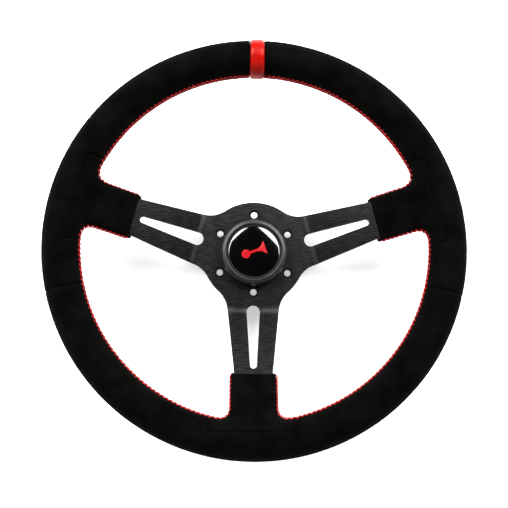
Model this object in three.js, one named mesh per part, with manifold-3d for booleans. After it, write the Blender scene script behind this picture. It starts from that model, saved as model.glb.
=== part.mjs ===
// Dished three-spoke sports steering wheel with a push horn button, in millimetres.
// Frame: +Z towards the driver, +Y to the twelve o'clock band. The origin is on the wheel's axis,
// in the plane of the horn housing's rear edge, which the wheel stands on when it lies on its back.
import * as THREE from "three";
import { mergeVertices } from "three/addons/utils/BufferGeometryUtils.js";
import Module from "manifold-3d";

const wasm = await Module();
wasm.setup();

// ---- Driving dimensions ----
const fitGap = 0.3; // clearance between two pieces that meet

// Rim
const rimDiameter = 350; // over the cover
const gripWidth = 30.7; // grip section across the rim's plane
const gripDepth = 35; // grip section along the axis
const dish = 54; // plate's front face to the rim's centre plane
const coverThickness = 1.3;
const coreWidth = 15; // flat steel ring inside the grip
const coreThickness = 5;

// Spoke plate
const plateThickness = 4.5;
const hubMargin = 11.5; // bolt circle to the hub's edge
const hubFillet = 24; // between the hub's round edge and a spoke's edge
const hornBore = 25.5; // radius of the centre hole
const spokeAngles = [14, 166, 270]; // degrees from +X
const bendBeyondHub = 5; // hub's edge to the crease of the spoke's bend
const bendRadius = 15; // on the hollow side of a bend
const tailBendInside = 4.1; // rim's inner edge to the crease of the spoke's second bend
const spokeWidthAtHub = 47;
const spokeWidthAtSleeve = 32.6;
const slotStart = 0.5; // hub's edge to the slot's inner tip
const slotWidthAtHub = 11.6;
const slotWidthAtSleeve = 5.6;
const slotMargin = 4; // slot's outer tip to the sleeve's mouth

// Bolt holes for the hub or quick-release adapter
const boltCount = 6;
const boltMargin = 9.5; // centre hole's edge to the bolt circle
const boltHole = 5.8;
const countersink = 9;

// Rivets that join a spoke's tail to the core ring
const rivetShank = 4.8;
const rivetHead = 9;
const rivetHeadHeight = 1.6;
const rivetSpacing = 18;

// Spoke sleeves
const sleeveLength = 38.3; // mouth to the rim's inner edge
const sleeveWall = 2.9; // cover and foam around the spoke
const sleeveFlare = 9; // fillet between the sleeve and the rim
const flareTurn = 60; // degrees that the fillet turns through before it meets the rim
const sleeveReach = 6; // sleeve's seam beyond the rim's inner edge
const sleeveSeamMargin = 1.5; // sleeve's seam beyond each flare

// Twelve o'clock band, cover joints and stitching
const bandWidth = 12;
const bandProud = 0.9;
const coverJoints = [194, 346]; // degrees, where the side covers meet the bottom cover
const threadRadius = 0.8;
const threadGap = 0.4;

// Horn button
const housingBehindPlate = 17.5;
const housingWall = 2.6;
const flangeOverlap = 4.5; // flange beyond the centre hole
const bezelOverlap = 3; // bezel beyond the centre hole
const bezelHeight = 12.6; // above the plate's front face
const sealThickness = 0.8;
const capInset = 2.1; // cap's edge inside the centre hole
const capHeight = 11.2; // cap's rim above the plate's front face
const capThickness = 4;
const emblemDepth = 2; // recess for the emblem
const domeRise = 2; // height of the emblem's crown over its edge
const domeEdge = 1.1; // thickness of the emblem at its edge
const capTravel = 2;
const contactGap = 0.2; // left between the contacts at full travel
const contactThickness = 0.5;
const contactRadius = 9;
const baseThickness = 3;
const baseHeight = 9; // base's underside above the housing's rear edge
const ledgeHeight = 4.7;
const ledgeWidth = 5.4;
const lipThickness = 2;
const springRadius = 12;
const springWire = 1.2;
const springTurns = 5;
const terminalWidth = 6.3;
const terminalThickness = 0.8;
const fixedTerminalAt = -7; // along X, under the fixed contact
const springTerminalAt = springRadius; // along X, under the spring's lowest coil
const screwCount = 3;
const screwShank = 1.1;
const screwHead = 1.9;
const clipCount = 3;
const clipWidth = 6;
const clipThickness = 0.4;

// ---- Derived places ----
const radians = THREE.MathUtils.degToRad;
const boltCircle = 2 * (hornBore + boltMargin);
const hubRadius = boltCircle / 2 + hubMargin;
const flangeRadius = hornBore + flangeOverlap;
const bezelRadius = hornBore + bezelOverlap;
const capRadius = hornBore - capInset;
const plateBack = housingBehindPlate;
const plateFront = plateBack + plateThickness;
const rimPlane = plateFront + dish;
const rimRadius = (rimDiameter - gripWidth) / 2;
const rimInner = rimDiameter / 2 - gripWidth;
const coreBottom = rimPlane - coreThickness / 2;
const coreTop = rimPlane + coreThickness / 2;
const tailFront = coreBottom - fitGap;
const tailEnd = rimRadius + coreWidth / 2 - 1;
const sleeveMouth = rimInner - sleeveLength;
const hubCrease = hubRadius + bendBeyondHub;
const rimCrease = rimInner - tailBendInside;
const spokeSlope = Math.atan2(tailFront - plateFront, rimCrease - hubCrease);
const foamInset = coverThickness + fitGap;
const rimFacets = 48;
const gripFacets = 12;
const roundFacets = 36;
const farAbove = rimPlane + gripDepth;
const farOut = rimDiameter;

// ---- Solids ----
function solid(geometry) {
  const bare = geometry.index ? geometry.toNonIndexed() : geometry.clone();
  bare.deleteAttribute("normal");
  bare.deleteAttribute("uv");
  const merged = mergeVertices(bare, 1e-4);
  const corners = merged.index.array;
  const kept = [];
  for (let i = 0; i < corners.length; i += 3) {
    const [a, b, c] = corners.slice(i, i + 3);
    if (a !== b && b !== c && c !== a) kept.push(a, b, c);
  }
  const vertProperties = merged.attributes.position.array;
  return new wasm.Manifold(new wasm.Mesh({ numProp: 3, vertProperties, triVerts: new Uint32Array(kept) }));
}

function geometryOf(body) {
  const mesh = body.getMesh();
  const geometry = new THREE.BufferGeometry();
  geometry.setAttribute("position", new THREE.BufferAttribute(mesh.vertProperties, 3));
  geometry.setIndex(new THREE.BufferAttribute(mesh.triVerts, 1));
  geometry.computeVertexNormals();
  return geometry;
}

const joined = (bodies) => bodies.reduce((all, body) => all.add(body));
const cut = (body, tools) => tools.reduce((left, tool) => left.subtract(tool), body);
const inSpoke = (geometry, degrees) => geometry.rotateZ(radians(degrees));
const shapeOf = (points) => new THREE.Shape(points.map(([x, y]) => new THREE.Vector2(x, y)));

// Upright prism of an outline in plan.
function prism(shape, bottom, top) {
  const geometry = new THREE.ExtrudeGeometry(shape, { depth: top - bottom, bevelEnabled: false, curveSegments: 16 });
  return geometry.translate(0, 0, bottom);
}

// Side profile in (distance from axis, height), given a width across the spoke.
function sideProfile(points, width) {
  const geometry = new THREE.ExtrudeGeometry(shapeOf(points), { depth: width, bevelEnabled: false });
  return geometry.translate(0, 0, -width / 2).rotateX(Math.PI / 2);
}

// Solid of revolution about Z from (radius, height) points, outer side going up.
function turned(points, facets = roundFacets) {
  const profile = points.map(([r, z]) => new THREE.Vector2(r, z));
  return new THREE.LatheGeometry(profile, facets).rotateX(Math.PI / 2);
}

// Ring of revolution whose profile closes on itself.
const turnedRing = (points, facets) => turned([...points, points[0]], facets);

function cylinder(radius, bottom, top, facets = 16, topRadius = radius) {
  const geometry = new THREE.CylinderGeometry(topRadius, radius, top - bottom, facets);
  return geometry.rotateX(Math.PI / 2).translate(0, 0, (bottom + top) / 2);
}

function box(width, depth, bottom, top) {
  return new THREE.BoxGeometry(width, depth, top - bottom).translate(0, 0, (bottom + top) / 2);
}

// Points of an arc, both ends included, angles in radians.
function arc(x, y, radius, from, to, steps) {
  return Array.from({ length: steps + 1 }, (_, i) => {
    const angle = from + ((to - from) * i) / steps;
    return [x + radius * Math.cos(angle), y + radius * Math.sin(angle)];
  });
}

// ---- Spoke plate ----
// Side line of a spoke, lifted off the plate's front face by a signed distance.
function spokeLine(lift, from, to) {
  const half = Math.tan(spokeSlope / 2);
  const outer = bendRadius + plateThickness;
  const down = -Math.PI / 2;
  const up = Math.PI / 2;
  const hubBend = arc(hubCrease - bendRadius * half, plateFront + bendRadius, bendRadius - lift,
    down, down + spokeSlope, 4);
  const tailBend = arc(rimCrease + outer * half, tailFront - outer, outer + lift, up + spokeSlope, up, 4);
  const line = [...hubBend, ...tailBend];
  if (from < line[0][0]) return [[from, plateFront + lift], ...line, [to, tailFront + lift]];
  const rise = Math.tan(spokeSlope);
  const [x, z] = hubBend[hubBend.length - 1];
  return [[from, z + (from - x) * rise], ...tailBend, [to, tailFront + lift]];
}

// A spoke's bent sheet, grown by a clearance on both faces.
function spokeSheet(clearance, from, to, width) {
  const front = spokeLine(clearance, from, to);
  const back = spokeLine(-plateThickness - clearance, from, to);
  return sideProfile([...front, ...back.reverse()], width);
}

// One edge of a spoke in plan, from the hub's round edge outwards, in the spoke's own frame.
function spokeEdge() {
  const taper = (spokeWidthAtHub - spokeWidthAtSleeve) / 2 / (sleeveMouth - hubRadius);
  const scale = Math.hypot(taper, 1);
  const normal = [taper / scale, 1 / scale];
  const along = [1 / scale, -taper / scale];
  const offset = normal[0] * hubRadius + (normal[1] * spokeWidthAtHub) / 2;
  const reach = Math.sqrt((hubRadius + hubFillet) ** 2 - (offset + hubFillet) ** 2);
  const centre = [0, 1].map((i) => along[i] * reach + normal[i] * (offset + hubFillet));
  const fromHub = Math.atan2(-centre[1], -centre[0]);
  const toEdge = Math.atan2(-normal[1], -normal[0]);
  const fillet = arc(centre[0], centre[1], hubFillet, fromHub, toEdge, 5);
  return [...fillet, [sleeveMouth, spokeWidthAtSleeve / 2], [tailEnd, spokeWidthAtSleeve / 2]];
}

function turnedPoint([x, y], degrees) {
  const [c, s] = [Math.cos(radians(degrees)), Math.sin(radians(degrees))];
  return [x * c - y * s, x * s + y * c];
}

function plateOutline() {
  const edge = spokeEdge();
  const filletAngle = Math.atan2(edge[0][1], edge[0][0]);
  const outline = [];
  spokeAngles.forEach((angle, i) => {
    const near = edge.map(([x, y]) => turnedPoint([x, -y], angle));
    const far = edge.map((point) => turnedPoint(point, angle)).reverse();
    const next = spokeAngles[i + 1] ?? spokeAngles[0] + 360;
    const hubArc = arc(0, 0, hubRadius, radians(angle) + filletAngle, radians(next) - filletAngle, 7);
    outline.push(...near, ...far, ...hubArc.slice(1, -1));
  });
  return outline;
}

// Lightening slot: two round ends joined by straight sides, wide end towards the hub.
function slotOutline() {
  const [inner, outer] = [slotWidthAtHub / 2, slotWidthAtSleeve / 2];
  const start = hubRadius + slotStart + inner;
  const end = sleeveMouth - slotMargin - outer;
  const side = Math.acos((inner - outer) / (end - start));
  return [...arc(start, 0, inner, side, 2 * Math.PI - side, 8), ...arc(end, 0, outer, -side, side, 5)];
}

const circleOutline = (x, y, radius, steps) => arc(x, y, radius, 0, 2 * Math.PI, steps).slice(0, -1);

function boltPlaces() {
  return Array.from({ length: boltCount }, (_, i) => {
    const angle = Math.PI / 2 + (2 * Math.PI * i) / boltCount;
    return [(boltCircle / 2) * Math.cos(angle), (boltCircle / 2) * Math.sin(angle)];
  });
}

const rivetPlaces = [-1, 1].map((side) => [rimRadius, (side * rivetSpacing) / 2]);

function spokePlate() {
  const outline = shapeOf(plateOutline());
  const holes = [circleOutline(0, 0, hornBore, roundFacets)];
  holes.push(...boltPlaces().map(([x, y]) => circleOutline(x, y, boltHole / 2, 12)));
  for (const angle of spokeAngles) {
    holes.push(slotOutline().map((point) => turnedPoint(point, angle)));
    for (const [x, y] of rivetPlaces) {
      const [px, py] = turnedPoint([x, y], angle);
      holes.push(circleOutline(px, py, rivetShank / 2 + fitGap, 10));
    }
  }
  outline.holes = holes.map((points) => new THREE.Path(points.map(([x, y]) => new THREE.Vector2(x, y))));
  const flatHub = cylinder(hubRadius + 1, plateBack, plateFront, 64);
  const spokes = spokeAngles.map((angle) => inSpoke(spokeSheet(0, 0, tailEnd, hubRadius * 1.3), angle));
  const sheet = joined([flatHub, ...spokes].map(solid));
  const depth = (countersink - boltHole) / 2;
  const sinks = boltPlaces().map(([x, y]) => {
    const cone = cylinder(boltHole / 2, plateFront - depth, plateFront + depth, 12, boltHole / 2 + 2 * depth);
    return solid(cone.translate(x, y, 0));
  });
  return cut(sheet.intersect(solid(prism(outline, 0, farAbove))), sinks);
}

// ---- Core ring and rivets ----
function coreRing() {
  const [inner, outer] = [rimRadius - coreWidth / 2, rimRadius + coreWidth / 2];
  const section = [[inner, coreBottom], [outer, coreBottom], [outer, coreTop], [inner, coreTop]];
  const holes = spokeAngles.flatMap((angle) => rivetPlaces.map(([x, y]) => {
    const drill = cylinder(rivetShank / 2 + fitGap, coreBottom - 1, coreTop + 1, 10);
    return solid(inSpoke(drill.translate(x, y, 0), angle));
  }));
  return cut(solid(turnedRing(section, rimFacets)), holes);
}

const rivetTop = coreTop + fitGap;
const rivetBottom = tailFront - plateThickness - fitGap;

function rivet() {
  const [shank, head] = [rivetShank / 2, rivetHead / 2];
  return turned([
    [0, rivetBottom - rivetHeadHeight],
    [head * 0.7, rivetBottom - rivetHeadHeight * 0.8],
    [head, rivetBottom],
    [shank, rivetBottom],
    [shank, rivetTop],
    [head, rivetTop],
    [head * 0.7, rivetTop + rivetHeadHeight * 0.8],
    [0, rivetTop + rivetHeadHeight],
  ], 10);
}

// ---- Grip: foam moulding and covers ----
function gripRing(inset) {
  const [width, depth] = [gripWidth / 2 - inset, gripDepth / 2 - inset];
  const section = arc(0, 0, 1, 0, 2 * Math.PI, gripFacets).slice(0, -1);
  return turnedRing(section.map(([x, y]) => [rimRadius + width * x, rimPlane + depth * y]), rimFacets);
}

// Centre of the flare between a sleeve's side and the rim's inner edge, in the spoke's frame.
const sleeveHalf = spokeWidthAtSleeve / 2 + sleeveWall;
const flareAcross = sleeveHalf + sleeveFlare;
const flareAlong = Math.sqrt((rimInner - sleeveFlare) ** 2 - flareAcross ** 2);
const flareAngle = Math.atan2(flareAcross, flareAlong);
const flareEnd = radians(flareTurn) - Math.PI / 2;
const flareRun = 12; // straight run of the flare's wall into the rim
const sleeveSeamHalf = flareAcross + sleeveFlare * Math.sin(flareEnd) + flareRun * Math.cos(flareEnd)
  + sleeveSeamMargin;

// A sleeve's outer shape, inset on every side, from a distance along the spoke to inside the rim.
function sleeveBlock(inset, from) {
  const lift = sleeveWall - inset;
  const [width, depth] = [gripWidth / 2 - inset, gripDepth / 2 - inset];
  const nearRim = rimInner - 12;
  const front = spokeLine(lift, from, tailEnd);
  const back = spokeLine(-plateThickness - lift, from, tailEnd);
  const rise = Math.tan(spokeSlope);
  const frontLine = (x) => [x, front[0][1] + (x - from) * rise];
  const backLine = (x) => [x, back[0][1] + (x - from) * rise];
  const crown = [rimRadius - width * 0.5, rimPlane + depth * 0.85];
  const floor = [rimRadius - width * 0.5, rimPlane - depth * 0.85];
  const side = [
    backLine(from),
    backLine(nearRim),
    floor,
    [rimRadius, floor[1]],
    [rimRadius, crown[1]],
    crown,
    [rimInner + inset, rimPlane + depth * 0.3],
    frontLine(nearRim),
    frontLine(from),
  ];
  const half = sleeveHalf - inset;
  const flare = arc(flareAlong, flareAcross, sleeveFlare + inset, -Math.PI / 2, flareEnd, 4);
  const [x, y] = flare[flare.length - 1];
  const wall = [x - flareRun * Math.sin(flareEnd), y + flareRun * Math.cos(flareEnd)];
  const edge = [[from, half], ...flare, wall, [rimRadius, wall[1]]];
  const plan = [...edge.map(([x, y]) => [x, -y]), ...edge.reverse()];
  const block = solid(sideProfile(side, 2 * (flareAcross + farOut)));
  return block.intersect(solid(prism(shapeOf(plan), 0, farAbove)));
}

function gripBody(inset, from) {
  const sleeves = spokeAngles.map((angle) => {
    const sleeve = sleeveBlock(inset, from);
    return sleeve.rotate([0, 0, angle]);
  });
  return joined([solid(gripRing(inset)), ...sleeves]);
}

// Moulded foam, hollow where the core ring, the spoke tails and the rivets sit.
function gripFoam() {
  const grow = fitGap;
  const [inner, outer] = [rimRadius - coreWidth / 2 - grow, rimRadius + coreWidth / 2 + grow];
  const [bottom, top] = [coreBottom - grow, coreTop + grow];
  const channel = turnedRing([[inner, bottom], [outer, bottom], [outer, top], [inner, top]], rimFacets);
  const hollows = [solid(channel)];
  for (const angle of spokeAngles) {
    const sheet = spokeSheet(grow, sleeveMouth - 8, tailEnd + grow, spokeWidthAtSleeve + 2 * grow);
    hollows.push(solid(inSpoke(sheet, angle)));
    for (const [x, y] of rivetPlaces) {
      const [low, high] = [rivetBottom - rivetHeadHeight - grow, rivetTop + rivetHeadHeight + grow];
      hollows.push(solid(inSpoke(cylinder(rivetHead / 2 + grow, low, high, 10).translate(x, y, 0), angle)));
    }
  }
  return cut(gripBody(foamInset, sleeveMouth + 1), hollows);
}

const coverShell = gripBody(0, sleeveMouth).subtract(gripBody(coverThickness, sleeveMouth - 8));

// Region that a sleeve's cover takes, grown by half a joint where the rim's covers stop short of it.
function sleeveRegion(angle, grow) {
  const length = rimInner + sleeveReach + grow - sleeveMouth / 2;
  const region = box(length, 2 * (sleeveSeamHalf + grow), plateBack, farAbove);
  return solid(inSpoke(region.translate(sleeveMouth / 2 + length / 2, 0, 0), angle));
}

const sleeveCover = (angle) => coverShell.intersect(sleeveRegion(angle, 0));

// Part of the rim's cover between two angles, clear of the sleeves and of the centre band.
function rimCover(from, to) {
  const joint = THREE.MathUtils.radToDeg(fitGap / 2 / rimInner);
  const sector = arc(0, 0, farOut, radians(from + joint), radians(to - joint), 12);
  const wedge = solid(prism(shapeOf([[0, 0], ...sector]), plateBack, farAbove));
  const band = box(bandWidth + 2 * fitGap, farOut, plateBack, farAbove).translate(0, farOut / 2, 0);
  const others = spokeAngles.map((angle) => sleeveRegion(angle, fitGap));
  return cut(coverShell.intersect(wedge), [...others, solid(band)]);
}

function centreBand() {
  const strip = box(bandWidth, farOut, plateBack, farAbove).translate(0, farOut / 2, 0);
  return solid(gripRing(-bandProud)).subtract(solid(gripRing(coverThickness))).intersect(solid(strip));
}

// ---- Stitching ----
// Thread line along one side of a sleeve and round its flare, in the spoke's frame, side 1 or -1.
function sleeveThread(side) {
  const off = threadGap + threadRadius;
  const spokeMiddle = spokeLine(-plateThickness / 2, sleeveMouth + 2, tailEnd);
  const rise = Math.tan(spokeSlope);
  const height = (x) => spokeMiddle[0][1] + (x - sleeveMouth - 2) * rise;
  const straight = [0.05, 0.35, 0.65, 0.9].map((share) => {
    const x = sleeveMouth + share * (flareAlong - sleeveMouth);
    return [x, sleeveHalf + off, height(x)];
  });
  const flare = arc(flareAlong, flareAcross, sleeveFlare - off, -Math.PI / 2, flareEnd, 4);
  const bottom = height(flareAlong);
  const curved = flare.map(([x, y], i) => [x, y, bottom + ((rimPlane - bottom) * i) / 5]);
  return [...straight, ...curved].map(([x, y, z]) => [x, side * y, z]);
}

function thread(points) {
  const route = new THREE.CatmullRomCurve3(points.map((point) => new THREE.Vector3(...point)), false, "centripetal");
  const section = shapeOf(circleOutline(0, 0, threadRadius, 6));
  const steps = Math.round(route.getLength() / 8);
  return new THREE.ExtrudeGeometry(section, { steps, bevelEnabled: false, extrudePath: route });
}

// Points along the rim's inner edge between two angles in degrees.
function rimThread(from, to) {
  const steps = Math.max(2, Math.round((to - from) / 6));
  const radius = rimInner - threadGap - threadRadius;
  return arc(0, 0, radius, radians(from), radians(to), steps).map(([x, y]) => [x, y, rimPlane]);
}

const flareDegrees = THREE.MathUtils.radToDeg(flareAngle);
const turnedAll = (points, angle) => points.map(([x, y, z]) => [...turnedPoint([x, y], angle), z]);

// Seam of a window between two neighbouring spokes, or of half a window that stops at an angle.
function windowSeam(startSpoke, endSpoke, stop) {
  const head = startSpoke === null ? [] : turnedAll(sleeveThread(1), startSpoke);
  const tail = endSpoke === null ? [] : turnedAll(sleeveThread(-1), endSpoke).reverse();
  const from = startSpoke === null ? stop : startSpoke + flareDegrees + 2;
  const to = endSpoke === null ? stop : endSpoke - flareDegrees - 2;
  return thread([...head, ...rimThread(from, to), ...tail]);
}

const bandStop = THREE.MathUtils.radToDeg((bandWidth / 2 + bandProud) / rimInner);

// ---- Horn button ----
const barrelRadius = hornBore - fitGap;
const cavityRadius = barrelRadius - housingWall;
const capRim = plateFront + capHeight;
const capFloor = capRim - capThickness;
const bezelTop = plateFront + bezelHeight;
const flangeBottom = plateFront + sealThickness + 2 * fitGap;
const baseTop = baseHeight + baseThickness;
const ledgeBottom = baseTop + fitGap;
const ledgeInner = cavityRadius - ledgeWidth;
const lipBottom = plateFront + 0.6;
const lipInner = cavityRadius - 1.7;
const shaftInner = capRadius + 0.4;
const fixedContactTop = baseTop + fitGap + contactThickness;
const movingContactBottom = fixedContactTop + capTravel + contactGap;
const bossBottom = movingContactBottom + contactThickness + fitGap;
const screwCircle = ledgeInner + ledgeWidth / 2 - 0.5;
const screwAngles = Array.from({ length: screwCount }, (_, i) => 90 + (360 * i) / screwCount);
const clipAngles = Array.from({ length: clipCount }, (_, i) => 30 + (360 * i) / clipCount);
const clipPocket = 1.3; // depth of a clip's pocket in the barrel
const clipFoot = 4.4; // lower end of a clip

// Housing: bezel, shaft, barrel and skirt in one moulding.
function hornHousing() {
  const body = solid(turnedRing([
    [cavityRadius, 0],
    [barrelRadius, 0],
    [barrelRadius, flangeBottom],
    [flangeRadius, flangeBottom],
    [flangeRadius - 0.4, flangeBottom + 2.2],
    [bezelRadius + 0.2, bezelTop - 2.8],
    [bezelRadius - 0.5, bezelTop - 0.8],
    [bezelRadius - 3.3, bezelTop],
    [shaftInner, bezelTop - 0.9],
    [shaftInner, lipBottom + lipThickness],
    [lipInner, lipBottom + lipThickness],
    [lipInner, lipBottom],
    [cavityRadius, lipBottom],
    [cavityRadius, ledgeBottom + ledgeHeight],
    [ledgeInner, ledgeBottom + ledgeHeight],
    [ledgeInner, ledgeBottom],
    [cavityRadius, ledgeBottom],
  ]));
  const screwHoles = screwAngles.map((angle) => {
    const drill = cylinder(screwShank + fitGap, ledgeBottom - 1, ledgeBottom + ledgeHeight - 0.8, 10);
    return solid(inSpoke(drill.translate(screwCircle, 0, 0), angle));
  });
  const pockets = clipAngles.map((angle) => {
    const pocket = box(2 * clipPocket, clipWidth + 0.8, clipFoot - fitGap, plateBack - 0.1);
    return solid(inSpoke(pocket.translate(barrelRadius, 0, 0), angle));
  });
  return cut(body, [...screwHoles, ...pockets]);
}

function bezelSeal() {
  const [bottom, top] = [plateFront + fitGap, plateFront + fitGap + sealThickness];
  const [inner, outer] = [barrelRadius + fitGap, flangeRadius - 0.3];
  return turnedRing([[inner, bottom], [outer, bottom], [outer, top], [inner, top]]);
}

// Cap: dished disc, three snap tabs under the housing's lip, and a boss with a staked end.
function hornCap() {
  const rimInside = capRadius - 0.8;
  const stake = bossBottom - fitGap - contactThickness - fitGap;
  const disc = solid(turned([
    [0, stake - 0.4],
    [2, stake - 0.4],
    [2, stake],
    [1.2, stake],
    [1.2, bossBottom],
    [5, bossBottom],
    [5, capFloor],
    [capRadius, capFloor],
    [capRadius, capRim - 0.3],
    [capRadius - 0.3, capRim],
    [rimInside, capRim],
    [rimInside, capRim - emblemDepth],
    [0, capRim - emblemDepth],
  ]));
  const tabOuter = lipInner - 0.4;
  const hook = cavityRadius - 0.7;
  const hookTop = lipBottom - fitGap;
  const tabs = solid(turnedRing([
    [tabOuter - 1.9, hookTop - 1.8],
    [hook, hookTop - 1.8],
    [hook, hookTop],
    [tabOuter, hookTop],
    [tabOuter, capFloor + 0.5],
    [tabOuter - 1.9, capFloor + 0.5],
  ]));
  const gaps = clipAngles.map((angle) => {
    const gap = box(2 * capRadius, 1.2 * capRadius, hookTop - 3, capFloor);
    return solid(inSpoke(gap.translate(capRadius, 0, 0), angle + 60));
  });
  return disc.add(cut(tabs, gaps));
}

// ---- Emblem: domed black disc with an inlaid horn pictogram ----
const emblemRadius = capRadius - 0.8 - fitGap;
const emblemBottom = capRim - emblemDepth + fitGap;
const domeTop = emblemBottom + domeEdge + domeRise;
const domeCurve = (emblemRadius ** 2 + domeRise ** 2) / (2 * domeRise);

function domed(lift) {
  const spread = Math.asin(emblemRadius / domeCurve);
  const crown = arc(0, domeTop - domeCurve, domeCurve + lift, Math.PI / 2 - spread, Math.PI / 2, 5);
  crown[crown.length - 1][0] = 0;
  return solid(turned([[0, emblemBottom], [crown[0][0], emblemBottom], ...crown]));
}

// Half heights of the pictogram, a bulb horn seen from the side: bulb, tube, bell.
function pictogram(outset) {
  const bulb = arc(-7.5, 0, 3.9, Math.PI, 0.3, 8);
  const bell = [0, 0.35, 0.6, 0.8, 1].map((t) => [2.5 + 8 * t, 1.1 + 5 * t * t]);
  const half = [...bulb, ...bell].map(([x, y]) => [x, Math.max(y, 0) + outset]);
  half[0][0] -= outset;
  half[0][1] = 0;
  const end = half[half.length - 1];
  const mouth = [[end[0] + outset, end[1]]];
  const upper = [...half, ...mouth];
  const lower = upper.slice(1).map(([x, y]) => [x, -y]).reverse();
  const outline = [...upper, ...lower].map((point) => turnedPoint(point, 20));
  return solid(prism(shapeOf(outline), emblemBottom - 1, domeTop + 2));
}

const inlayDepth = 0.6;
const emblemDome = () => domed(0).subtract(pictogram(fitGap).subtract(domed(-inlayDepth - fitGap)));
const hornSymbol = () => pictogram(0).intersect(domed(0.05)).subtract(domed(-inlayDepth));

// ---- Contacts, spring, base and terminals ----
function movingContact() {
  const [bottom, top] = [movingContactBottom, movingContactBottom + contactThickness];
  return turnedRing([[1.5, bottom], [contactRadius, bottom], [contactRadius, top], [1.5, top]], 24);
}

function fixedContact() {
  const [bottom, top] = [baseTop + fitGap, fixedContactTop];
  return turnedRing([[3.2, bottom], [contactRadius + 0.5, bottom], [contactRadius + 0.5, top], [3.2, top]], 24);
}

class Coil extends THREE.Curve {
  getPoint(t, target = new THREE.Vector3()) {
    const angle = 2 * Math.PI * springTurns * t;
    const bottom = baseTop + fitGap + springWire / 2;
    const top = capFloor - fitGap - springWire / 2;
    return target.set(springRadius * Math.cos(angle), springRadius * Math.sin(angle), bottom + (top - bottom) * t);
  }
}

function contactSpring() {
  const section = shapeOf(circleOutline(0, 0, springWire / 2 - 0.02, 6));
  const steps = springTurns * 12;
  return new THREE.ExtrudeGeometry(section, { steps, bevelEnabled: false, extrudePath: new Coil() });
}

const terminalNeck = terminalWidth - 1.3;

function terminalBase() {
  const disc = solid(cylinder(cavityRadius - fitGap, baseHeight, baseTop, roundFacets));
  const holes = screwAngles.map((angle) => {
    const drill = cylinder(screwShank + fitGap, baseHeight - 1, baseTop + 1, 10);
    return solid(inSpoke(drill.translate(screwCircle, 0, 0), angle));
  });
  const slots = [fixedTerminalAt, springTerminalAt].map((x) => {
    const slot = box(terminalThickness + 2 * fitGap, terminalNeck + 2 * fitGap, baseHeight - 1, baseTop + 1);
    return solid(slot.translate(x, 0, 0));
  });
  return cut(disc, [...holes, ...slots]);
}

// Spade terminal: blade with a detent hole, a shoulder under the base and a neck through it.
function spadeTerminal(x) {
  const half = terminalWidth / 2;
  const shoulder = half + 1.1;
  const neck = terminalNeck / 2;
  const under = baseHeight - fitGap;
  const tip = 1.5;
  const right = [
    [half - 1, tip],
    [half, tip + 1],
    [half, under - 1.5],
    [shoulder, under - 1.5],
    [shoulder, under],
    [neck, under],
    [neck, baseTop],
  ];
  const shape = shapeOf([...right, ...right.map(([y, z]) => [-y, z]).reverse()]);
  const detent = circleOutline(0, tip + 3, 0.9, 12).map(([y, z]) => new THREE.Vector2(y, z));
  shape.holes = [new THREE.Path(detent)];
  const blade = new THREE.ExtrudeGeometry(shape, { depth: terminalThickness, bevelEnabled: false });
  return blade.translate(0, 0, -terminalThickness / 2).rotateX(Math.PI / 2).rotateZ(Math.PI / 2).translate(x, 0, 0);
}

function baseScrew() {
  const under = baseHeight - fitGap;
  return turned([
    [0, under - 1.5],
    [screwHead * 0.75, under - 1.5],
    [screwHead, under - 1],
    [screwHead, under],
    [screwShank, under],
    [screwShank, ledgeBottom + ledgeHeight - 1.4],
    [0, ledgeBottom + ledgeHeight - 1],
  ], 10);
}

// Leaf clip that springs out behind the plate's back face.
function retainingClip() {
  const root = barrelRadius - clipPocket + fitGap;
  const out = hornBore + 0.7;
  const side = [
    [root, clipFoot],
    [root + clipThickness, clipFoot],
    [root + clipThickness, clipFoot + 3.5],
    [out + clipThickness, plateBack - 1.6],
    [out, plateBack - fitGap],
    [out - 0.5, plateBack - 0.8],
    [out, plateBack - 1.7],
    [root, clipFoot + 3.6],
  ];
  return sideProfile(side, clipWidth);
}

// ---- Finishes ----
const finish = (color, roughness, metalness) => new THREE.MeshStandardMaterial({ color, roughness, metalness });
const anodised = finish(0x2b2b2d, 0.45, 0.8);
const steel = finish(0x8c8f92, 0.4, 1);
const brass = finish(0xc59a4a, 0.35, 1);
const foam = finish(0x232323, 0.9, 0);
const suede = finish(0x121110, 0.95, 0);
const redLeather = finish(0xd01208, 0.4, 0);
const redThread = finish(0xc8180f, 0.7, 0);
const plastic = finish(0x303133, 0.5, 0);
const rubber = finish(0x151515, 0.8, 0);
const glossBlack = finish(0x050505, 0.08, 0);
const redEnamel = finish(0xd2101a, 0.25, 0);
const phenolic = finish(0x4a3424, 0.6, 0);

// ---- Assembly ----
const wheel = new THREE.Group();
const pressed = new THREE.Group(); // moves with the horn cap
wheel.add(pressed);

function place(name, shape, material, group = wheel, degrees = 0, x = 0, y = 0) {
  const mesh = new THREE.Mesh(shape.isBufferGeometry ? shape : geometryOf(shape), material);
  mesh.name = name;
  const [px, py] = turnedPoint([x, y], degrees);
  mesh.position.set(px, py, 0);
  mesh.rotation.z = radians(degrees);
  group.add(mesh);
}

place("spoke_plate", spokePlate(), anodised);
place("core_ring", coreRing(), steel);
place("grip_foam", gripFoam(), foam);
place("cover_left", rimCover(90, coverJoints[0]), suede);
place("cover_right", rimCover(coverJoints[1] - 360, 90), suede);
place("cover_bottom", rimCover(coverJoints[0], coverJoints[1]), suede);
place("centre_band", centreBand(), redLeather);

const spokeNames = ["right", "left", "bottom"];
spokeAngles.forEach((angle, i) => {
  place(`sleeve_${spokeNames[i]}`, sleeveCover(angle), suede);
  rivetPlaces.forEach(([x, y], j) => place(`rivet_${spokeNames[i]}_${j + 1}`, rivet(), steel, wheel, angle, x, y));
});

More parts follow.
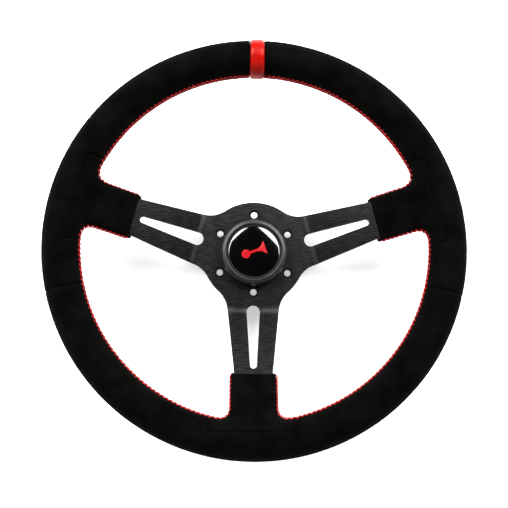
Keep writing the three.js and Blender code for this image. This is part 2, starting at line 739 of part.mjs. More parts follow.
const [rightSpoke, leftSpoke, bottomSpoke] = spokeAngles;
place("stitching_top_right", windowSeam(rightSpoke, null, 90 - bandStop), redThread);
place("stitching_top_left", windowSeam(null, leftSpoke, 90 + bandStop), redThread);
place("stitching_left", windowSeam(leftSpoke, bottomSpoke), redThread);
place("stitching_right", windowSeam(bottomSpoke - 360, rightSpoke), redThread);

place("horn_housing", hornHousing(), plastic);
place("bezel_seal", bezelSeal(), rubber);
place("terminal_base", terminalBase(), phenolic);
place("fixed_contact", fixedContact(), brass);
place("contact_spring", contactSpring(), steel);
place("terminal_fixed", spadeTerminal(fixedTerminalAt), brass);
place("terminal_spring", spadeTerminal(springTerminalAt), brass);
screwAngles.forEach((angle, i) => place(`base_screw_${i + 1}`, baseScrew(), steel, wheel, angle, screwCircle));
clipAngles.forEach((angle, i) => place(`retaining_clip_${i + 1}`, retainingClip(), steel, wheel, angle));

place("horn_cap", hornCap(), plastic, pressed);
place("emblem_dome", emblemDome(), glossBlack, pressed);
place("horn_symbol", hornSymbol(), redEnamel, pressed);
place("moving_contact", movingContact(), brass, pressed);

export default wheel;
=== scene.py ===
"""Steering wheel: smooth covers, cross stitching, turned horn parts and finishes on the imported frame."""
import math

import bmesh
import bpy
import numpy as np
from mathutils import Matrix, Vector, kdtree


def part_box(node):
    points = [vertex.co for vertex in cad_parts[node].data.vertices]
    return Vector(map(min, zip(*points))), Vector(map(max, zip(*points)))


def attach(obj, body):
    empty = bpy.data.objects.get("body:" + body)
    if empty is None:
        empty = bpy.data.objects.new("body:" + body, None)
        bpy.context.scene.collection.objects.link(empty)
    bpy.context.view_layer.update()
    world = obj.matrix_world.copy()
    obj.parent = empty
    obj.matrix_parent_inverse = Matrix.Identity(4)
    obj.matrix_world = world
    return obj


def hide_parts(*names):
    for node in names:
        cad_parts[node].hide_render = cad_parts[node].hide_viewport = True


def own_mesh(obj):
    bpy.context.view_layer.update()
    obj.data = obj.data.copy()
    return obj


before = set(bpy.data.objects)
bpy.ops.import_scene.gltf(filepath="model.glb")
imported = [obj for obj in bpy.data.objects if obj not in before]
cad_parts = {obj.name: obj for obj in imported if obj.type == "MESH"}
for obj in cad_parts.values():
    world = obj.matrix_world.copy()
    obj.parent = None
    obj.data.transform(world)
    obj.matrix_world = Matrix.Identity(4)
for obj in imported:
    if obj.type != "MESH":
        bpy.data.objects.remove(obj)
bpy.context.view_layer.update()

MM = 0.001

# ---- Sizes ----
SPOKES = {"right": 14, "left": 166, "bottom": 270}
COVER_JOINTS = (194, 346)
GAP = 0.3 * MM
GRIP_WIDTH = 30.7 * MM
COVER_THICKNESS = 1.3 * MM
PLATE_THICKNESS = 4.5 * MM
HUB_RADIUS = 46.5 * MM
HUB_FILLET = 24 * MM
HORN_BORE = 25.5 * MM
HUB_CREASE = 51.5 * MM
RIM_CREASE = 140.2 * MM
BEND_RADIUS = 15 * MM
SPOKE_WIDTH_AT_HUB = 47 * MM
SPOKE_WIDTH_AT_SLEEVE = 32.6 * MM
SLOT_START = 47 * MM
SLOT_WIDTH_AT_HUB = 11.6 * MM
SLOT_WIDTH_AT_SLEEVE = 5.6 * MM
SLOT_MARGIN = 4 * MM
BOLT_CIRCLE = 70 * MM
BOLT_HOLE = 5.8 * MM
COUNTERSINK = 9 * MM
PLATE_CHAMFER = 0.45 * MM
SLEEVE_WALL = 2.9 * MM
SLEEVE_CORNER = 3.6 * MM
SLEEVE_BLEND = 11 * MM
SLEEVE_FLARE = 9 * MM
SKIN_MESH = 1.5 * MM
SEAM_DEPTH = 0.5 * MM
SEAM_WIDTH = 0.9 * MM
BAND_PROUD = 0.9 * MM
STITCH_PITCH = 4 * MM
STITCH_HALF = 2.5 * MM
SEAM_HEIGHT = 1.0 * MM
THREAD_RADIUS = 0.42 * MM
FIRST_STITCH = 2.5 * MM
SEAM_REACH = 4 * MM
BENDS_FROM = 40 * MM
BEND_STEPS = 10

left_low, left_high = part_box("cover_left")
sleeve_low, sleeve_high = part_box("sleeve_bottom")
HALF_WIDTH = GRIP_WIDTH / 2
HALF_DEPTH = (left_high.z - left_low.z) / 2
RIM_PLANE = (left_high.z + left_low.z) / 2
RIM_RADIUS = -left_low.x - HALF_WIDTH
RIM_INNER = RIM_RADIUS - HALF_WIDTH
SLEEVE_MOUTH = -sleeve_high.y
SLEEVE_SEAM = -sleeve_low.y
SLEEVE_SEAM_HALF = sleeve_high.x
PLATE_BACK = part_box("spoke_plate")[0].z
PLATE_FRONT = PLATE_BACK + PLATE_THICKNESS
TAIL_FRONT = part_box("core_ring")[0].z - GAP
TAIL_END = RIM_RADIUS + 6.5 * MM
SLOPE = math.atan2(TAIL_FRONT - PLATE_FRONT, RIM_CREASE - HUB_CREASE)
SLEEVE_HALF = SPOKE_WIDTH_AT_SLEEVE / 2 + SLEEVE_WALL
SLEEVE_HALF_DEPTH = PLATE_THICKNESS / 2 + SLEEVE_WALL
FLARE_ACROSS = SLEEVE_HALF + SLEEVE_FLARE
FLARE_ALONG = math.sqrt((RIM_INNER - SLEEVE_FLARE) ** 2 - FLARE_ACROSS**2)
FLARE_TURN = math.atan2(FLARE_ACROSS, FLARE_ALONG)
BAND_HALF = (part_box("centre_band")[1].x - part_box("centre_band")[0].x) / 2


# ---- Shader node groups ----
def new_group(name, inputs, outputs):
    """Empty node group with named sockets, and its input and output nodes."""
    group = bpy.data.node_groups.new(name, "ShaderNodeTree")
    for socket, kind, value in inputs:
        made = group.interface.new_socket(socket, in_out="INPUT", socket_type=kind)
        made.default_value = value
    for socket, kind in outputs:
        group.interface.new_socket(socket, in_out="OUTPUT", socket_type=kind)
    return group, group.nodes.new("NodeGroupInput"), group.nodes.new("NodeGroupOutput")


def stretched_noise(group, source, detail):
    """Noise over the object, with its own count of spots per metre along each axis."""
    coordinates = group.nodes.new("ShaderNodeTexCoord")
    stretch = group.nodes.new("ShaderNodeVectorMath")
    stretch.operation = "MULTIPLY"
    noise = group.nodes.new("ShaderNodeTexNoise")
    noise.inputs["Scale"].default_value = 1
    noise.inputs["Detail"].default_value = detail
    link = group.links.new
    link(coordinates.outputs["Object"], stretch.inputs[0])
    link(source.outputs["Spots"], stretch.inputs[1])
    link(stretch.outputs[0], noise.inputs["Vector"])
    return noise


def spread(group, factor, low, high):
    """Value that runs from one socket to another as the factor goes from 0.3 to 0.7."""
    span = group.nodes.new("ShaderNodeMapRange")
    span.inputs["From Min"].default_value = 0.3
    span.inputs["From Max"].default_value = 0.7
    link = group.links.new
    link(factor, span.inputs["Value"])
    link(low, span.inputs["To Min"])
    link(high, span.inputs["To Max"])
    return span.outputs["Result"]


def mottle_group():
    """Cloudy change between two colours, as in nap, leather and moulded parts."""
    colour = "NodeSocketColor"
    inputs = [("Spots", "NodeSocketVector", (90, 90, 90)), ("Dark", colour, (0, 0, 0, 1))]
    inputs += [("Light", colour, (1, 1, 1, 1))]
    group, source, result = new_group("mottle", inputs, [("Color", colour)])
    noise = stretched_noise(group, source, 3)
    ramp = group.nodes.new("ShaderNodeMapRange")
    ramp.inputs["From Min"].default_value = 0.35
    ramp.inputs["From Max"].default_value = 0.65
    mix = group.nodes.new("ShaderNodeMix")
    mix.data_type = "RGBA"
    link = group.links.new
    link(noise.outputs["Fac"], ramp.inputs["Value"])
    link(ramp.outputs["Result"], mix.inputs["Factor"])
    link(source.outputs["Dark"], mix.inputs["A"])
    link(source.outputs["Light"], mix.inputs["B"])
    link(mix.outputs["Result"], result.inputs["Color"])
    return group


def grain_group():
    """Fine height and roughness that change over a surface, stretched into strokes for a brushed one."""
    number = "NodeSocketFloat"
    inputs = [("Spots", "NodeSocketVector", (900, 900, 900)), ("Smooth", number, 0.3)]
    inputs += [("Rough", number, 0.5)]
    group, source, result = new_group("grain", inputs, [("Height", number), ("Roughness", number)])
    noise = stretched_noise(group, source, 2)
    rough = spread(group, noise.outputs["Fac"], source.outputs["Smooth"], source.outputs["Rough"])
    link = group.links.new
    link(noise.outputs["Fac"], result.inputs["Height"])
    link(rough, result.inputs["Roughness"])
    return group


def pebble_group():
    """Cells of pebbled leather or open foam, as a height."""
    number = "NodeSocketFloat"
    group, source, result = new_group("pebble", [("Cells", number, 900)], [("Height", number)])
    coordinates = group.nodes.new("ShaderNodeTexCoord")
    cells = group.nodes.new("ShaderNodeTexVoronoi")
    cells.feature = "SMOOTH_F1"
    link = group.links.new
    link(coordinates.outputs["Object"], cells.inputs["Vector"])
    link(source.outputs["Cells"], cells.inputs["Scale"])
    link(cells.outputs["Distance"], result.inputs["Height"])
    return group


mottle, grain, pebble = mottle_group(), grain_group(), pebble_group()


# ---- Finishes ----
def new_finish(name, metallic=0.0, **settings):
    """Material named after a finish, with constants on the shader's own sockets."""
    material = bpy.data.materials.new(f"{name}_finish")
    material.use_nodes = True
    shader = material.node_tree.nodes["Principled BSDF"]
    shader.inputs["Metallic"].default_value = metallic
    for socket, value in settings.items():
        shader.inputs[socket.replace("_", " ")].default_value = value
    return material, shader


def add_group(material, group, **values):
    """Copy of a node group in a material, with its inputs set."""
    node = material.node_tree.nodes.new("ShaderNodeGroup")
    node.node_tree = group
    for socket, value in values.items():
        node.inputs[socket].default_value = value
    return node


def along_axes(spots):
    """Spots per metre along each axis, from one number or three."""
    return (spots,) * 3 if isinstance(spots, int) else spots


def add_mottle(material, shader, spots, dark, light):
    """Colour that clouds between two tones."""
    node = add_group(material, mottle, Spots=along_axes(spots), Dark=(*dark, 1), Light=(*light, 1))
    material.node_tree.links.new(node.outputs["Color"], shader.inputs["Base Color"])


def add_grain(material, shader, spots, smooth, rough, depth):
    """Fine grain in both the roughness and the bump."""
    node = add_group(material, grain, Spots=along_axes(spots), Smooth=smooth, Rough=rough)
    material.node_tree.links.new(node.outputs["Roughness"], shader.inputs["Roughness"])
    add_bump(material, shader, node.outputs["Height"], depth)


def add_bump(material, shader, height, depth):
    """Bump of a depth in metres, laid over the one that the shader already has."""
    bump = material.node_tree.nodes.new("ShaderNodeBump")
    bump.inputs["Distance"].default_value = depth
    under = shader.inputs["Normal"].links
    if under:
        material.node_tree.links.new(under[0].from_socket, bump.inputs["Normal"])
    material.node_tree.links.new(height, bump.inputs["Height"])
    material.node_tree.links.new(bump.outputs["Normal"], shader.inputs["Normal"])


def finish(name, clouds, grains, metallic=0.0, pebbles=None, **settings):
    """Finish's name and material: clouded colour, grained gloss and, on soft ones, pebbles."""
    material, shader = new_finish(name, metallic, **settings)
    add_mottle(material, shader, *clouds)
    add_grain(material, shader, *grains)
    if pebbles:
        cells, depth = pebbles
        add_bump(material, shader, add_group(material, pebble, Cells=cells).outputs["Height"], depth)
    return name, material


def twisted(material):
    """Bonded thread: twisted strands, seen as slanting ridges along each stitch."""
    nodes, link = material.node_tree.nodes, material.node_tree.links.new
    strand = nodes.new("ShaderNodeUVMap")
    strand.uv_map = "strand"
    twist = nodes.new("ShaderNodeTexWave")
    twist.wave_type = "BANDS"
    twist.bands_direction = "DIAGONAL"
    twist.inputs["Scale"].default_value = 1
    link(strand.outputs["UV"], twist.inputs["Vector"])
    add_bump(material, nodes["Principled BSDF"], twist.outputs["Fac"], 0.12 * MM)


FINISHES = dict([
    # brushed and anodised aluminium, its strokes lying across the wheel
    finish("anodised_black", ((110, 1900, 0), (0.0015, 0.0014, 0.0014), (0.022, 0.021, 0.02)),
           ((130, 2600, 0), 0.24, 0.36, 0.03 * MM), 0.75),
    # bare or plated metals with a dull, uneven gloss
    finish("core_steel", (70, (0.3, 0.31, 0.32), (0.45, 0.46, 0.47)), (500, 0.28, 0.46, 0.02 * MM), 1.0),
    finish("spring_steel", (70, (0.36, 0.36, 0.37), (0.52, 0.52, 0.53)), (500, 0.28, 0.46, 0.02 * MM), 1.0),
    finish("contact_brass", (70, (0.5, 0.32, 0.1), (0.68, 0.46, 0.17)), (500, 0.28, 0.46, 0.02 * MM), 1.0),
    # napped microfibre: light and dark strokes, a matt surface and a little sheen
    finish("suede_black", (55, (0.0004, 0.00038, 0.00034), (0.0015, 0.0014, 0.00125)),
           (1400, 0.85, 1.0, 0.12 * MM), Sheen_Weight=0.003, Sheen_Roughness=0.5, Specular_IOR_Level=0.02),
    # self-skinned foam with open cells
    finish("grip_foam", (200, (0.003, 0.003, 0.003), (0.008, 0.008, 0.008)),
           (900, 0.85, 0.98, 0.05 * MM), pebbles=(1100, 0.3 * MM), Specular_IOR_Level=0.2),
    # smooth leather with a fine pebble and a thin finish coat
    finish("leather_red", (160, (0.2, 0.0016, 0.0003), (0.28, 0.0028, 0.0006)),
           (1200, 0.3, 0.42, 0.02 * MM), pebbles=(1300, 0.06 * MM),
           Coat_Weight=0.05, Coat_Roughness=0.2, Specular_IOR_Level=0.08),
    finish("thread_red", (300, (0.26, 0.0008, 0.0015), (0.5, 0.004, 0.004)),
           (2500, 0.42, 0.6, 0.02 * MM), Specular_IOR_Level=0.2),
    # moulded parts with a slightly uneven colour and a fine spark texture
    finish("housing_plastic", (120, (0.005, 0.0052, 0.0055), (0.01, 0.0105, 0.011)),
           (1200, 0.3, 0.42, 0.02 * MM), Specular_IOR_Level=0.25),
    finish("seal_rubber", (120, (0.002, 0.002, 0.002), (0.005, 0.005, 0.005)),
           (1200, 0.7, 0.85, 0.02 * MM), Specular_IOR_Level=0.25),
    finish("base_phenolic", (120, (0.07, 0.032, 0.015), (0.13, 0.065, 0.03)),
           (1200, 0.45, 0.65, 0.02 * MM), Specular_IOR_Level=0.25),
    # black resin under a clear, highly polished crown
    finish("emblem_black", (60, (0.0004, 0.0004, 0.0004), (0.0008, 0.0008, 0.0008)),
           (40, 0.05, 0.09, 0.002 * MM), Coat_Weight=1.0, Coat_IOR=1.7, Coat_Roughness=0.03),
    # glossy filling of the pictogram
    finish("enamel_red", (200, (0.24, 0.001, 0.004), (0.32, 0.003, 0.006)),
           (300, 0.18, 0.28, 0.004 * MM), Coat_Weight=0.5, Coat_Roughness=0.08),
])
twisted(FINISHES["thread_red"])


# ---- Pieces ----
def placed(name, data):
    """Object in the scene."""
    made = bpy.data.objects.new(name, data)
    bpy.context.scene.collection.objects.link(made)
    return made


def add_piece(name, mesh, finish, nodes, body="wheel", hard=True):
    """Piece that stands for CAD nodes, with one of the finishes."""
    piece = placed(name, mesh)
    mesh.materials.clear()
    mesh.materials.append(FINISHES[finish])
    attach(piece, body)
    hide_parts(*([nodes] if isinstance(nodes, str) else nodes))
    if hard:
        piece.modifiers.new("even_faces", "WEIGHTED_NORMAL").keep_sharp = True
    return piece


def sharpened(mesh, degrees):
    """Mesh with sharp edges where its faces turn by more than an angle."""
    mesh.set_sharp_from_angle(angle=math.radians(degrees))
    return mesh


def to_mesh(form, name, sharp=None):
    """Mesh with smooth faces and, if an angle is given, sharp edges above it."""
    bmesh.ops.recalc_face_normals(form, faces=form.faces)
    for face in form.faces:
        face.smooth = True
    mesh = bpy.data.meshes.new(name)
    form.to_mesh(mesh)
    form.free()
    return sharpened(mesh, sharp) if sharp else mesh


def applied(mesh, *settings):
    """Mesh after modifiers, each given as its kind and its values."""
    scratch = placed("scratch", mesh)
    for kind, values in settings:
        modifier = scratch.modifiers.new(kind.lower(), kind)
        for key, value in values.items():
            setattr(modifier, key, value)
    depsgraph = bpy.context.evaluated_depsgraph_get()
    made = bpy.data.meshes.new_from_object(scratch.evaluated_get(depsgraph))
    bpy.data.objects.remove(scratch)
    return made


def carved(mesh, tool, operation="DIFFERENCE"):
    """Mesh after one exact boolean with another mesh."""
    cutter = placed("cutter", tool)
    made = applied(mesh, ("BOOLEAN", {"object": cutter, "operation": operation, "solver": "EXACT"}))
    bpy.data.objects.remove(cutter)
    return made


def eased(profile, ease, closed):
    """Profile with a small curve in place of each corner."""
    if not ease:
        return profile
    points = []
    for i, corner in enumerate(Vector(p) for p in profile):
        if not closed and i in (0, len(profile) - 1):
            points.append(corner)
            continue
        before, after = Vector(profile[i - 1]) - corner, Vector(profile[(i + 1) % len(profile)]) - corner
        start = before.normalized() * min(ease, 0.45 * before.length)
        end = after.normalized() * min(ease, 0.45 * after.length)
        points += [corner + (1 - t) ** 2 * start + t * t * end for t in (0, 1 / 3, 2 / 3, 1)]
    return points


def turned(profile, ease=0.25 * MM, closed=True, segments=144, centre=(0, 0)):
    """Solid turned about a vertical line from (radius, height) points."""
    form = bmesh.new()
    rings = []
    for radius, z in eased(profile, ease, closed):
        count = 1 if radius < 1e-7 else segments
        turns = [2 * math.pi * k / count for k in range(count)]
        places = [(centre[0] + radius * math.cos(a), centre[1] + radius * math.sin(a), z) for a in turns]
        rings.append([form.verts.new(place) for place in places])
    for lower, upper in zip(rings, rings[1:] + rings[:1] * closed):
        if len(lower) == len(upper) == 1:
            continue
        for k in range(segments):
            j = (k + 1) % segments
            corners = [lower[k % len(lower)], lower[j % len(lower)]]
            corners += [upper[j % len(upper)], upper[k % len(upper)]]
            form.faces.new(dict.fromkeys(corners))
    return to_mesh(form, "turned")


def polar(radius, degrees, centre=(0, 0)):
    """Point in plan at a distance and a direction."""
    turn = math.radians(degrees)
    return centre[0] + radius * math.cos(turn), centre[1] + radius * math.sin(turn)


def joined(meshes):
    """One mesh that holds several, each still closed by itself."""
    form = bmesh.new()
    for mesh in meshes:
        form.from_mesh(mesh)
    return to_mesh(form, "joined")


def bridged(form, lower, upper):
    """Band of faces between two rings of points."""
    for k in range(len(lower)):
        j = (k + 1) % len(lower)
        form.faces.new([lower[k], lower[j], upper[j], upper[k]])


def prism(outline, bottom, top):
    """Upright solid of an outline in plan."""
    form = bmesh.new()
    lower = [form.verts.new((x, y, bottom)) for x, y in outline]
    upper = [form.verts.new((x, y, top)) for x, y in outline]
    form.faces.new(lower)
    form.faces.new(upper)
    bridged(form, lower, upper)
    return to_mesh(form, "prism")


def slab(centre_radius, degrees, length, width, bottom, top):
    """Upright block that lies along a direction from the axis."""
    signs = [(-1, -1), (1, -1), (1, 1), (-1, 1)]
    corners = [Vector((centre_radius + x * length / 2, y * width / 2)) for x, y in signs]
    turn = Matrix.Rotation(math.radians(degrees), 2)
    return prism([turn @ corner for corner in corners], bottom, top)


def rounded_copy(node, edge, finish, body="wheel", sharp=35):
    """Copy of a CAD part with its flat faces merged and its sharp edges rounded."""
    form = bmesh.new()
    form.from_mesh(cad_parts[node].data)
    bmesh.ops.remove_doubles(form, verts=form.verts, dist=1e-6)
    bmesh.ops.dissolve_limit(form, angle_limit=math.radians(0.6), verts=form.verts, edges=form.edges)
    bevel = {"width": edge, "segments": 2, "limit_method": "ANGLE", "angle_limit": math.radians(sharp)}
    mesh = applied(to_mesh(form, node), ("BEVEL", {**bevel, "use_clamp_overlap": True}))
    return add_piece(f"{node}_finished", sharpened(mesh, 50), finish, node, body)


# ---- Spoke plate ----
def sheet_height(x, depth):
    """Height of the bent sheet at a distance along a spoke, at a depth below its front face."""
    rise, half = math.tan(SLOPE), math.tan(SLOPE / 2)
    hub_centre = HUB_CREASE - BEND_RADIUS * half
    hub_bend = BEND_RADIUS + depth
    outer = BEND_RADIUS + PLATE_THICKNESS
    rim_centre, rim_bend = RIM_CREASE + outer * half, outer - depth
    if x <= hub_centre:
        return PLATE_FRONT - depth
    if x <= hub_centre + hub_bend * math.sin(SLOPE):
        return PLATE_FRONT + BEND_RADIUS - math.sqrt(hub_bend**2 - (x - hub_centre) ** 2)
    if x <= rim_centre - rim_bend * math.sin(SLOPE):
        return PLATE_FRONT + (x - HUB_CREASE) * rise - depth / math.cos(SLOPE)
    if x < rim_centre:
        return TAIL_FRONT - outer + math.sqrt(rim_bend**2 - (rim_centre - x) ** 2)
    return TAIL_FRONT - depth


def arc(centre, radius, start, end, steps):
    """Points on an arc between two angles in radians."""
    turns = [start + (end - start) * k / steps for k in range(steps + 1)]
    return [(centre[0] + radius * math.cos(a), centre[1] + radius * math.sin(a)) for a in turns]


def spoke_edge():
    """One edge of a spoke in plan, from the hub's round edge to its tail."""
    taper = (SPOKE_WIDTH_AT_HUB - SPOKE_WIDTH_AT_SLEEVE) / 2 / (SLEEVE_MOUTH - HUB_RADIUS)
    scale = math.hypot(taper, 1)
    normal, along = (taper / scale, 1 / scale), (1 / scale, -taper / scale)
    offset = normal[0] * HUB_RADIUS + normal[1] * SPOKE_WIDTH_AT_HUB / 2
    reach = math.sqrt((HUB_RADIUS + HUB_FILLET) ** 2 - (offset + HUB_FILLET) ** 2)
    centre = [along[i] * reach + normal[i] * (offset + HUB_FILLET) for i in (0, 1)]
    start, end = math.atan2(-centre[1], -centre[0]), math.atan2(-normal[1], -normal[0])
    fillet = arc(centre, HUB_FILLET, start, end, 24)
    return [*fillet, (SLEEVE_MOUTH, SPOKE_WIDTH_AT_SLEEVE / 2), (TAIL_END, SPOKE_WIDTH_AT_SLEEVE / 2)]


def plate_outline():
    """Edge of the flat blank: hub and three spokes, joined by fillets."""
    edge = spoke_edge()
    shoulder = math.atan2(edge[0][1], edge[0][0])
    angles = [math.radians(a) for a in SPOKES.values()]
    outline = []
    for i, angle in enumerate(angles):
        turn = Matrix.Rotation(angle, 2)
        outline += [turn @ Vector((x, -y)) for x, y in reversed(edge)][::-1]
        outline += [turn @ Vector(point) for point in reversed(edge)]
        following = angles[(i + 1) % 3] + (2 * math.pi if i == 2 else 0)
        outline += arc((0, 0), HUB_RADIUS, angle + shoulder, following - shoulder, 30)[1:-1]
    return outline


def slot_outline(angle):
    """Lightening slot: two round ends joined by straight sides."""
    inner, outer = SLOT_WIDTH_AT_HUB / 2, SLOT_WIDTH_AT_SLEEVE / 2
    start, end = SLOT_START + inner, SLEEVE_MOUTH - SLOT_MARGIN - outer
    side = math.acos((inner - outer) / (end - start))
    points = arc((start, 0), inner, side, 2 * math.pi - side, 28) + arc((end, 0), outer, -side, side, 18)
    turn = Matrix.Rotation(math.radians(angle), 2)
    return [turn @ Vector(point) for point in points]


def flat_plate():
    """Flat blank with its holes, its edges chamfered and its bolt holes countersunk."""
    loops = [plate_outline(), arc((0, 0), HORN_BORE, 0, 2 * math.pi, 144)[:-1]]
    loops += [slot_outline(angle) for angle in SPOKES.values()]
    form = bmesh.new()
    edges = []
    for loop in loops:
        corners = [form.verts.new((*point, 0)) for point in loop]
        edges += [form.edges.new((a, b)) for a, b in zip(corners, corners[1:] + corners[:1])]
    bmesh.ops.triangle_fill(form, use_beauty=True, edges=edges)
    shape = bmesh.ops.extrude_face_region(form, geom=form.faces[:])["geom"]
    raised = [v for v in shape if isinstance(v, bmesh.types.BMVert)]
    bmesh.ops.translate(form, vec=(0, 0, PLATE_THICKNESS), verts=raised)
    bevel = {"width": PLATE_CHAMFER, "segments": 2, "limit_method": "ANGLE", "angle_limit": 0.9}
    blank = applied(to_mesh(form, "blank"), ("BEVEL", {**bevel, "use_clamp_overlap": False}))
    hole, sink = BOLT_HOLE / 2, (COUNTERSINK - BOLT_HOLE) / 2
    profile = [(0, -1 * MM), (hole, -1 * MM), (hole, PLATE_THICKNESS - sink)]
    profile += [(hole + 2 * sink, PLATE_THICKNESS + sink), (0, PLATE_THICKNESS + sink)]
    places = [polar(BOLT_CIRCLE / 2, 90 + 60 * k) for k in range(6)]
    drills = [turned(profile, 0, False, 48, place) for place in places]
    return carved(blank, joined(drills))


def spoke_plate():
    """Blank bent along its spokes, with a line across the sheet at each step of a bend."""
    form = bmesh.new()
    form.from_mesh(flat_plate())
    half, outer = math.tan(SLOPE / 2), BEND_RADIUS + PLATE_THICKNESS
    bends = [(HUB_CREASE - BEND_RADIUS * half, outer, 1), (RIM_CREASE + outer * half, outer, -1)]
    for angle in SPOKES.values():
        along = Vector((*polar(1, angle), 0))
        for centre, radius, way in bends:
            for step in range(BEND_STEPS + 1):
                x = centre + way * radius * math.sin(SLOPE * step / BEND_STEPS)
                near = [f for f in form.faces if f.calc_center_median().dot(along) > BENDS_FROM]
                verts = {v for f in near for v in f.verts}
                lines = {e for f in near for e in f.edges}
                bmesh.ops.bisect_plane(form, geom=[*near, *lines, *verts], dist=1e-7,
                                       plane_co=along * x, plane_no=along)
    directions = [Vector(polar(1, angle)) for angle in SPOKES.values()]
    for vert in form.verts:
        x = max(vert.co.xy.dot(direction) for direction in directions)
        vert.co.z = sheet_height(x, PLATE_THICKNESS - vert.co.z)
    mesh = to_mesh(form, "spoke_plate", 40)
    return add_piece("bent_spoke_plate", mesh, "anodised_black", "spoke_plate")


# ---- Grip covers ----
def in_spoke(points, angle):
    """Distances of points along a spoke and across it."""
    c, s = math.cos(math.radians(angle)), math.sin(math.radians(angle))
    return points[:, 0] * c + points[:, 1] * s, points[:, 1] * c - points[:, 0] * s


def sleeve_middle(along):
    """Height of the middle of a sleeve at a distance along its spoke."""
    straight = PLATE_FRONT + (along - HUB_CREASE) * math.tan(SLOPE) - PLATE_THICKNESS / 2 / math.cos(SLOPE)
    return np.minimum(straight, TAIL_FRONT - PLATE_THICKNESS / 2)


def sleeve_distance(points, angle):
    """Distance of points from the rounded arm of a sleeve, less than 0 inside."""
    along, side = in_spoke(points, angle)
    up = (points[:, 2] - sleeve_middle(along)) * math.cos(SLOPE)
    wide = np.abs(side) - SLEEVE_HALF + SLEEVE_CORNER
    deep = np.abs(up) - SLEEVE_HALF_DEPTH + SLEEVE_CORNER
    outside = np.hypot(np.maximum(wide, 0), np.maximum(deep, 0))
    distance = outside + np.minimum(np.maximum(wide, deep), 0) - SLEEVE_CORNER
    return np.where(along > 0, np.maximum(distance, along - RIM_RADIUS), 1)


def grip_distance(points):
    """Distance of points from the grip's skin, less than 0 inside: rim and sleeves in one flowing form."""
    across = np.hypot(points[:, 0], points[:, 1]) - RIM_RADIUS
    up = points[:, 2] - RIM_PLANE
    ratio = np.hypot(across / HALF_WIDTH, up / HALF_DEPTH) + 1e-9
    slope = np.hypot(across / HALF_WIDTH**2, up / HALF_DEPTH**2) / ratio
    distance = (ratio - 1) / np.maximum(slope, 1)
    for angle in SPOKES.values():
        sleeve = sleeve_distance(points, angle)
        near = np.maximum(SLEEVE_BLEND - np.abs(distance - sleeve), 0) / SLEEVE_BLEND
        distance = np.minimum(distance, sleeve) - near**2 * SLEEVE_BLEND / 4
    return distance


def outward(points):
    """Direction away from the grip's skin at each point."""
    step = 0.05 * MM
    shifts = np.eye(3) * step
    slope = np.stack([grip_distance(points + s) - grip_distance(points - s) for s in shifts], 1)
    return slope / (np.linalg.norm(slope, axis=1, keepdims=True) + 1e-12)


def onto_skin(points, lift=0.0, rounds=5):
    """Points moved until they stand at a height over the grip's skin."""
    for _ in range(rounds):
        points = points + outward(points) * (lift - grip_distance(points))[:, None]
    return points


def rough_grip():
    """Ring and three arms, merged into one even mesh."""
    ring = [(RIM_RADIUS + HALF_WIDTH * math.cos(a), RIM_PLANE + HALF_DEPTH * math.sin(a))
            for a in np.linspace(0, 2 * math.pi, 32, endpoint=False)]
    parts = [turned(ring, 0, True, 160)]
    start, end = SLEEVE_MOUTH - 6 * MM, RIM_INNER + 6 * MM
    for angle in SPOKES.values():
        arm = slab((start + end) / 2, angle, end - start, 2 * SLEEVE_HALF, -1, 1)
        turn = Vector(polar(1, angle))
        for vert in arm.vertices:
            middle = float(sleeve_middle(vert.co.xy.dot(turn)))
            vert.co.z = middle + math.copysign(SLEEVE_HALF_DEPTH / math.cos(SLOPE), vert.co.z)
        parts.append(arm)
    even = {"mode": "VOXEL", "voxel_size": SKIN_MESH, "use_smooth_shade": True}
    return applied(joined(parts), ("REMESH", even))


def cut_line(form, point, normal, is_near):
    """Row of edges across the skin at a plane, with the points that nearly lie on it drawn onto it."""
    point, normal = Vector(point), Vector(normal).normalized()
    near = [f for f in form.faces if is_near(f.calc_center_median())]
    verts = {v for f in near for v in f.verts}
    for vert in verts:
        off = (vert.co - point).dot(normal)
        if abs(off) < 0.35 * SKIN_MESH:
            vert.co -= off * normal
    lines = {e for f in near for e in f.edges}
    bmesh.ops.bisect_plane(form, geom=[*near, *lines, *verts], dist=1e-6, plane_co=point, plane_no=normal)


def cut_seams(form):
    """Seam lines of the sleeves, the cover joints and the centre band."""
    for angle in SPOKES.values():
        along, side = Vector((*polar(1, angle), 0)), Vector((*polar(1, angle + 90), 0))
        for x in (SLEEVE_MOUTH, SLEEVE_SEAM):
            def near_end(c, x=x):
                return abs(c.dot(along) - x) < SEAM_REACH and abs(c.dot(side)) < SLEEVE_SEAM_HALF + MM
            cut_line(form, along * x, along, near_end)
        for way in (-1, 1):
            def near_side(c, way=way):
                off = abs(c.dot(side) - way * SLEEVE_SEAM_HALF)
                return off < SEAM_REACH and 0 < c.dot(along) < SLEEVE_SEAM + MM
            cut_line(form, side * way * SLEEVE_SEAM_HALF, side, near_side)
    for angle in COVER_JOINTS:
        along, side = Vector((*polar(1, angle), 0)), Vector((*polar(1, angle + 90), 0))
        cut_line(form, (0, 0, 0), side, lambda c: abs(c.dot(side)) < SEAM_REACH and c.dot(along) > 0)
    for x in (-BAND_HALF, BAND_HALF):
        cut_line(form, (x, 0, 0), (1, 0, 0), lambda c: abs(c.x - x) < SEAM_REACH and c.y > 0)


